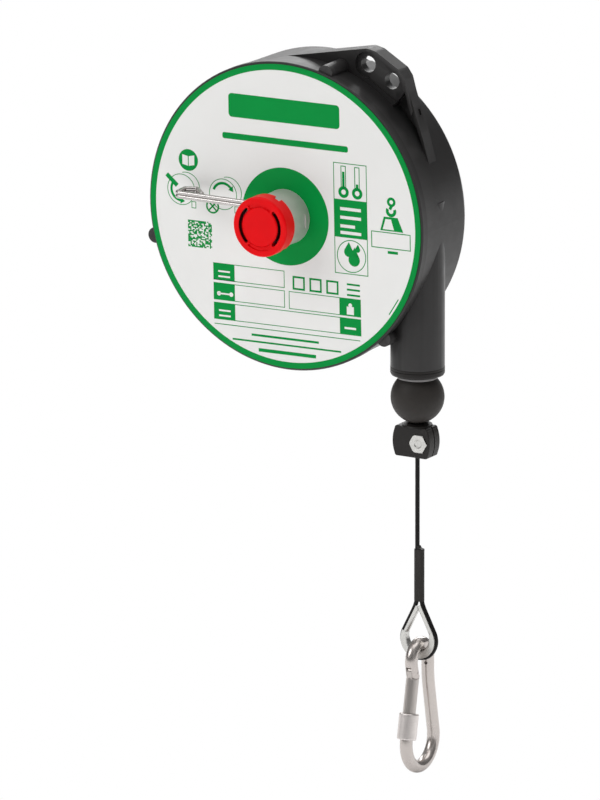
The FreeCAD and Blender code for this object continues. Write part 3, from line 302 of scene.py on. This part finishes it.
class Print:
    def __init__(self, name, mat, proud=PROUD, body="housing"):
        self.name, self.mat, self.proud, self.body = name, mat, proud, body
        self.bm = bmesh.new()
        self.base, self.count, self.sunk = proud, 0, SUNK

    def lift(self):
        """Each shape stands a hair prouder than the last, so none share a face."""
        self.count += 1
        self.proud = self.base + 0.0013 * (self.count % 16)

    def place(self, x, z, y, turned):
        if turned:
            x, z = x * math.cos(TURN) - z * math.sin(TURN), x * math.sin(TURN) + z * math.cos(TURN)
        return L(x, y, z)

    def poly(self, pts, turned=True):
        """Prism over a convex or star-shaped outline."""
        self.lift()
        f = [self.bm.verts.new(self.place(x, z, -self.proud, turned)) for x, z in pts]
        b = [self.bm.verts.new(self.place(x, z, self.sunk, turned)) for x, z in pts]
        n = len(pts)
        self.bm.faces.new(f)
        self.bm.faces.new(list(reversed(b)))
        for i in range(n):
            j = (i + 1) % n
            self.bm.faces.new((f[i], b[i], b[j], f[j]))

    def ring(self, cx, cz, r0, r1, a0=0.0, a1=360.0, turned=True, n=None):
        self.lift()
        full = abs(a1 - a0) >= 359.99
        n = n or max(12, int(abs(a1 - a0) / 360.0 * max(28, r1 * 5)))
        count = n if full else n + 1
        rows = []
        for i in range(count):
            a = math.radians(a0 + (a1 - a0) * i / n)
            c, s = math.cos(a), math.sin(a)
            rows.append([self.bm.verts.new(self.place(cx + r * c, cz + r * s, y, turned))
                         for r, y in ((r0, -self.proud), (r1, -self.proud), (r1, self.sunk), (r0, self.sunk))])
        for i in range(n):
            a, b = rows[i], rows[(i + 1) % count]
            for k in range(4):
                self.bm.faces.new((a[k], a[(k + 1) % 4], b[(k + 1) % 4], b[k]))
        if not full:
            self.bm.faces.new(rows[0])
            self.bm.faces.new(list(reversed(rows[-1])))

    def disc(self, cx, cz, r, n=None, turned=True):
        n = n or max(20, int(r * 9))
        self.poly([(cx + r * math.cos(2 * math.pi * i / n), cz + r * math.sin(2 * math.pi * i / n)) for i in range(n)], turned)

    def rect(self, x0, z0, x1, z1):
        self.poly([(x0, z0), (x1, z0), (x1, z1), (x0, z1)])

    def pill(self, x0, z0, x1, z1, r):
        pts = []
        for cx, cz, a0 in ((x1 - r, z1 - r, 0), (x0 + r, z1 - r, 90), (x0 + r, z0 + r, 180), (x1 - r, z0 + r, 270)):
            for i in range(7):
                a = math.radians(a0 + 15 * i)
                pts.append((cx + r * math.cos(a), cz + r * math.sin(a)))
        self.poly(pts)

    def frame(self, x0, z0, x1, z1, w=0.4):
        self.rect(x0, z0, x1, z0 + w)
        self.rect(x0, z1 - w, x1, z1)
        self.rect(x0, z0 + w, x0 + w, z1 - w)
        self.rect(x1 - w, z0 + w, x1, z1 - w)

    def bar(self, xa, za, xb, zb, w):
        dx, dz = xb - xa, zb - za
        n = math.hypot(dx, dz)
        ux, uz = -dz / n * w / 2, dx / n * w / 2
        self.poly([(xa + ux, za + uz), (xa - ux, za - uz), (xb - ux, zb - uz), (xb + ux, zb + uz)])

    def done(self):
        bmesh.ops.recalc_face_normals(self.bm, faces=self.bm.faces)
        me = bpy.data.meshes.new(self.name)
        self.bm.to_mesh(me)
        self.bm.free()
        return add_object(self.name, me, self.mat, self.body)


g = Print("dial_green", M["green"])
g.sunk = 0.46
g.ring(0, 0, 84.7, 88.06, turned=False, n=300)
g.sunk = SUNK
g.ring(0, 0, 15.9, 28.3, turned=False, n=120)
# plain bands where the heading is
g.pill(-36.0, 54.4, 36.5, 68.2, 2.2)
g.pill(-40.3, 41.4, 41.7, 45.0, 1.2)
# round icon with two open pages
g.disc(-63.0, 26.2, 6.3)
# adjuster pictograms: a wheel with a turning arrow, twice
for cx, cz, a0, a1 in ((-68.0, 8.6, 150, 265), (-40.6, 8.6, 40, 160)):
    g.ring(cx, cz, 8.7, 9.1)
    g.ring(cx + 3.2, cz + 1.4, 8.7, 9.1, -40, 105)
    g.ring(cx, cz, 5.7, 7.2, a0, a1)
    for a, s in ((a0, -1),) if a0 == 40 else ((a1, 1),):
        r = math.radians(a)
        px, pz = cx + 6.45 * math.cos(r), cz + 6.45 * math.sin(r)
        tx, tz = -math.sin(r) * s, math.cos(r) * s
        nx, nz = math.cos(r), math.sin(r)
        g.poly([(px + nx * 1.9, pz + nz * 1.9), (px - nx * 1.9, pz - nz * 1.9), (px + tx * 2.9, pz + tz * 2.9)])
g.bar(-77.4, 16.6, -70.6, 10.6, 2.6)
g.ring(-47.6, 0.9, 3.3, 4.3)
g.bar(-50.0, -1.5, -45.2, 3.3, 0.9)
g.bar(-50.0, 3.3, -45.2, -1.5, 0.9)
for x in (-61.4, -33.2):
    g.frame(x, -1.6, x + 3.0, 2.4, 0.4)
# small mosaic square
n, x0, z0, w = 21, -64.0, -24.1, 15.6
for i in range(n):
    run = None
    for j in range(n + 1):
        on = j < n and random.random() < 0.56
        if on and run is None:
            run = j
        if not on and run is not None:
            g.rect(x0 + run * w / n, z0 + i * w / n, x0 + j * w / n, z0 + (i + 0.94) * w / n)
            run = None
# tall panel: two thermometers, a solid cell and a round drop symbol
g.frame(31.9, -29.2, 53.6, 35.2, 0.45)
g.rect(32.0, -8.0, 53.5, 14.0)
for cx, fill in ((38.4, 9.5), (47.3, 3.0)):
    g.frame(cx - 1.7, 20.6, cx + 1.7, 33.6, 0.5)
    g.rect(cx - 0.8, 19.8, cx + 0.8, 20.6 + fill)
    g.ring(cx, 18.3, 1.5, 3.4)
g.ring(42.9, -18.6, 9.0, 9.5)
for cx, cz, r in ((41.0, -16.2, 2.9), (44.6, -20.6, 3.7), (47.0, -14.4, 1.6)):
    g.disc(cx, cz, r)
    g.poly([(cx - r * 0.86, cz + r * 0.5), (cx + r * 0.86, cz + r * 0.5), (cx + r * 0.1, cz + r * 2.0)])
# hook over a weight, and its empty field
g.ring(69.4, 15.7, 1.2, 2.8)
g.bar(69.6, 13.6, 68.4, 11.4, 1.8)
g.ring(69.2, 10.4, 1.5, 3.4, 150, 385)
g.poly([(62.0, -1.2), (76.9, -1.2), (73.4, 6.9), (64.4, 6.9)])
g.frame(56.0, -11.6, 81.6, -2.0, 0.5)
g.rect(66.6, -14.4, 73.2, -12.8)
# table
for x0, z0, x1, z1 in ((-47.9, -41.7, -1.3, -31.7), (-47.9, -53.2, -1.3, -43.2), (1.4, -53.5, 48.4, -43.2)):
    g.frame(x0, z0, x1, z1, 0.4)
g.frame(-47.9, -64.5, 48.4, -54.7, 0.4)
g.rect(-47.9, -41.7, -34.0, -31.7)
g.rect(-47.9, -53.2, -34.0, -43.2)
g.rect(-47.9, -64.5, -34.0, -54.7)
g.rect(34.4, -53.5, 48.4, -43.2)
g.rect(34.5, -64.5, 48.4, -54.7)
# rule and three plain lines of a foot note
g.bar(-47.7, -67.2, 47.6, -67.2, 0.45)
for x0, x1, z, h in ((-23.5, 20.5, -71.2, 1.3), (-36.0, 35.0, -75.0, 1.0), (-19.0, 18.5, -79.6, 2.0)):
    g.rect(x0, z - h / 2, x1, z + h / 2)
# a row of three plain marks beside the table
for x in (4.0, 15.0, 26.0):
    g.frame(x, -42.0, x + 8.0, -34.0, 1.1)
for i in range(3):
    g.rect(39.5, -35.6 - 3.1 * i, 48.0, -34.5 - 3.1 * i)
g.bar(66.8, -49.8, 73.0, -40.4, 0.6)
g.done()

w = Print("dial_white_marks", M["plate"], proud=0.09)
w.poly([(-66.9, 23.6), (-63.3, 22.8), (-63.3, 28.4), (-66.9, 29.2)])
w.poly([(-59.1, 23.6), (-62.7, 22.8), (-62.7, 28.4), (-59.1, 29.2)])
for z, x1 in ((8.6, 49.5), (3.6, 49.5), (-1.4, 45.5), (-5.2, 49.5)):
    w.rect(36.0, z - 0.9, x1, z + 0.9)
for z in (-36.4, -39.4):
    w.rect(-44.6, z - 0.5, -37.0, z + 0.5)
w.bar(-45.0, -49.4, -36.0, -49.4, 0.9)
w.disc(-44.4, -49.4, 1.3)
w.disc(-36.4, -49.4, 1.3)
for z in (-59.2, -62.2):
    w.rect(-44.6, z - 0.5, -37.0, z + 0.5)
w.rect(39.2, -52.6, 43.8, -48.0)
w.disc(41.5, -47.2, 1.2)
w.rect(37.6, -61.2, 45.0, -60.0)
w.poly([(63.6, -0.4), (70.9, -0.4), (69.1, 5.6), (65.5, 5.6)])
w.done()

# painted shade: thin dark sleeves on the walls of the knob's two curved slots stand in for the shadow inside the slots
def sector(bm, r0, r1, y0, y1, a0, a1, steps=40):
    rows = []
    for i in range(steps + 1):
        a = math.radians(a0 + (a1 - a0) * i / steps)
        c, d = math.cos(a), math.sin(a)
        rows.append([bm.verts.new(L(r * c, y, r * d)) for r, y in ((r0, y0), (r1, y0), (r1, y1), (r0, y1))])
    for u, v in zip(rows, rows[1:]):
        for k in range(4):
            bm.faces.new((u[k], u[(k + 1) % 4], v[(k + 1) % 4], v[k]))
    bm.faces.new(list(reversed(rows[0])))
    bm.faces.new(rows[-1])


slot_shade_mesh = bpy.data.meshes.new("knob_slot_painted_shade")
bm = bmesh.new()
for a0, a1 in ((-46, 46), (134, 226)):
    sector(bm, 11.55, 11.74, -28.2, -24.55, a0, a1)
    sector(bm, 13.66, 13.85, -28.2, -24.55, a0, a1)
bmesh.ops.recalc_face_normals(bm, faces=bm.faces)
bm.to_mesh(slot_shade_mesh)
bm.free()
# the sleeves' dark red-brown is painted shade, not a colour the knob has
add_object("knob_slot_painted_shade", slot_shade_mesh, material("slot_painted_shade", rgb(52, 10, 10), 0.55, vary=0.10, vary_scale=120, bump=0.08, spec=0.15),
           "arbor")

# -------------------------------------------------------------- stage, light
bottom = L(0, 0, -320.75).z
fm = bpy.data.materials.new("studio_floor")
fm.use_nodes = True
p = fm.node_tree.nodes["Principled BSDF"]
p.inputs["Base Color"].default_value = (0.93, 0.93, 0.93, 1)
p.inputs["Roughness"].default_value = 0.9
p.inputs["Specular IOR Level"].default_value = 0.1
p.inputs["Emission Color"].default_value = (1, 1, 1, 1)
p.inputs["Emission Strength"].default_value = GLOW
me = bpy.data.meshes.new("floor")
s = 14.0
me.from_pydata([(-s, -s, bottom), (s, -s, bottom), (s, s, bottom), (-s, s, bottom)], [], [(0, 1, 2, 3)])
floor = add_object("floor", me, fm, None)
# it lights the object from below but doesn't hide the rope when that is pulled out
floor.visible_camera = False
floor.visible_shadow = False

world = bpy.data.worlds.new("studio")
bpy.context.scene.world = world
world.use_nodes = True
wn = world.node_tree
bg = wn.nodes["Background"]
wt = wn.nodes.new("ShaderNodeTexCoord")
sep = wn.nodes.new("ShaderNodeSeparateXYZ")
wr = wn.nodes.new("ShaderNodeValToRGB")
wn.links.new(wt.outputs["Generated"], sep.inputs[0])
wn.links.new(sep.outputs["Z"], wr.inputs[0])
el = wr.color_ramp.elements
el[0].position, el[0].color = 0.0, (0.10, 0.10, 0.10, 1)
el[1].position, el[1].color = 1.0, (0.80, 0.80, 0.80, 1)
mid_el = el.new(0.30)
mid_el.color = (0.30, 0.30, 0.30, 1)
wn.links.new(wr.outputs[0], bg.inputs[0])
bg.inputs[1].default_value = WORLD
# plain white behind the object
white = wn.nodes.new("ShaderNodeBackground")
white.inputs[0].default_value, white.inputs[1].default_value = (1, 1, 1, 1), 1.0
path, pick = wn.nodes.new("ShaderNodeLightPath"), wn.nodes.new("ShaderNodeMixShader")
wn.links.new(path.outputs["Is Camera Ray"], pick.inputs[0])
wn.links.new(bg.outputs[0], pick.inputs[1])
wn.links.new(white.outputs[0], pick.inputs[2])
wn.links.new(pick.outputs[0], wn.nodes["World Output"].inputs["Surface"])


def sun(name, direction, strength, angle):
    ld = bpy.data.lights.new(name, "SUN")
    ld.energy = strength
    ld.angle = math.radians(angle)
    o = bpy.data.objects.new(name, ld)
    bpy.context.scene.collection.objects.link(o)
    o.rotation_euler = Vector(direction).to_track_quat("Z", "Y").to_euler()


def area(name, loc, look, size, power, size_y=None):
    ld = bpy.data.lights.new(name, "AREA")
    ld.energy = power
    ld.size = size
    if size_y:
        ld.shape = "RECTANGLE"
        ld.size_y = size_y
    o = bpy.data.objects.new(name, ld)
    bpy.context.scene.collection.objects.link(o)
    o.location = loc
    o.rotation_euler = (Vector(loc) - Vector(look)).to_track_quat("Z", "Y").to_euler()
    return o


mid = L(0, 0, -80)
sun("key", (-0.45, -0.80, 0.75), SUN_KEY, 34)
sun("top", (0.10, 0.10, 1.0), SUN_TOP, 60)
area("soft_left", (-1.5, -1.6, 0.9), mid, 0.9, AREA_L, 1.4)
area("soft_right", (1.7, -0.9, 0.5), mid, 0.5, AREA_R, 1.5)
area("soft_back", (-1.3, 2.3, 0.95), mid, 2.6, AREA_B, 1.1)
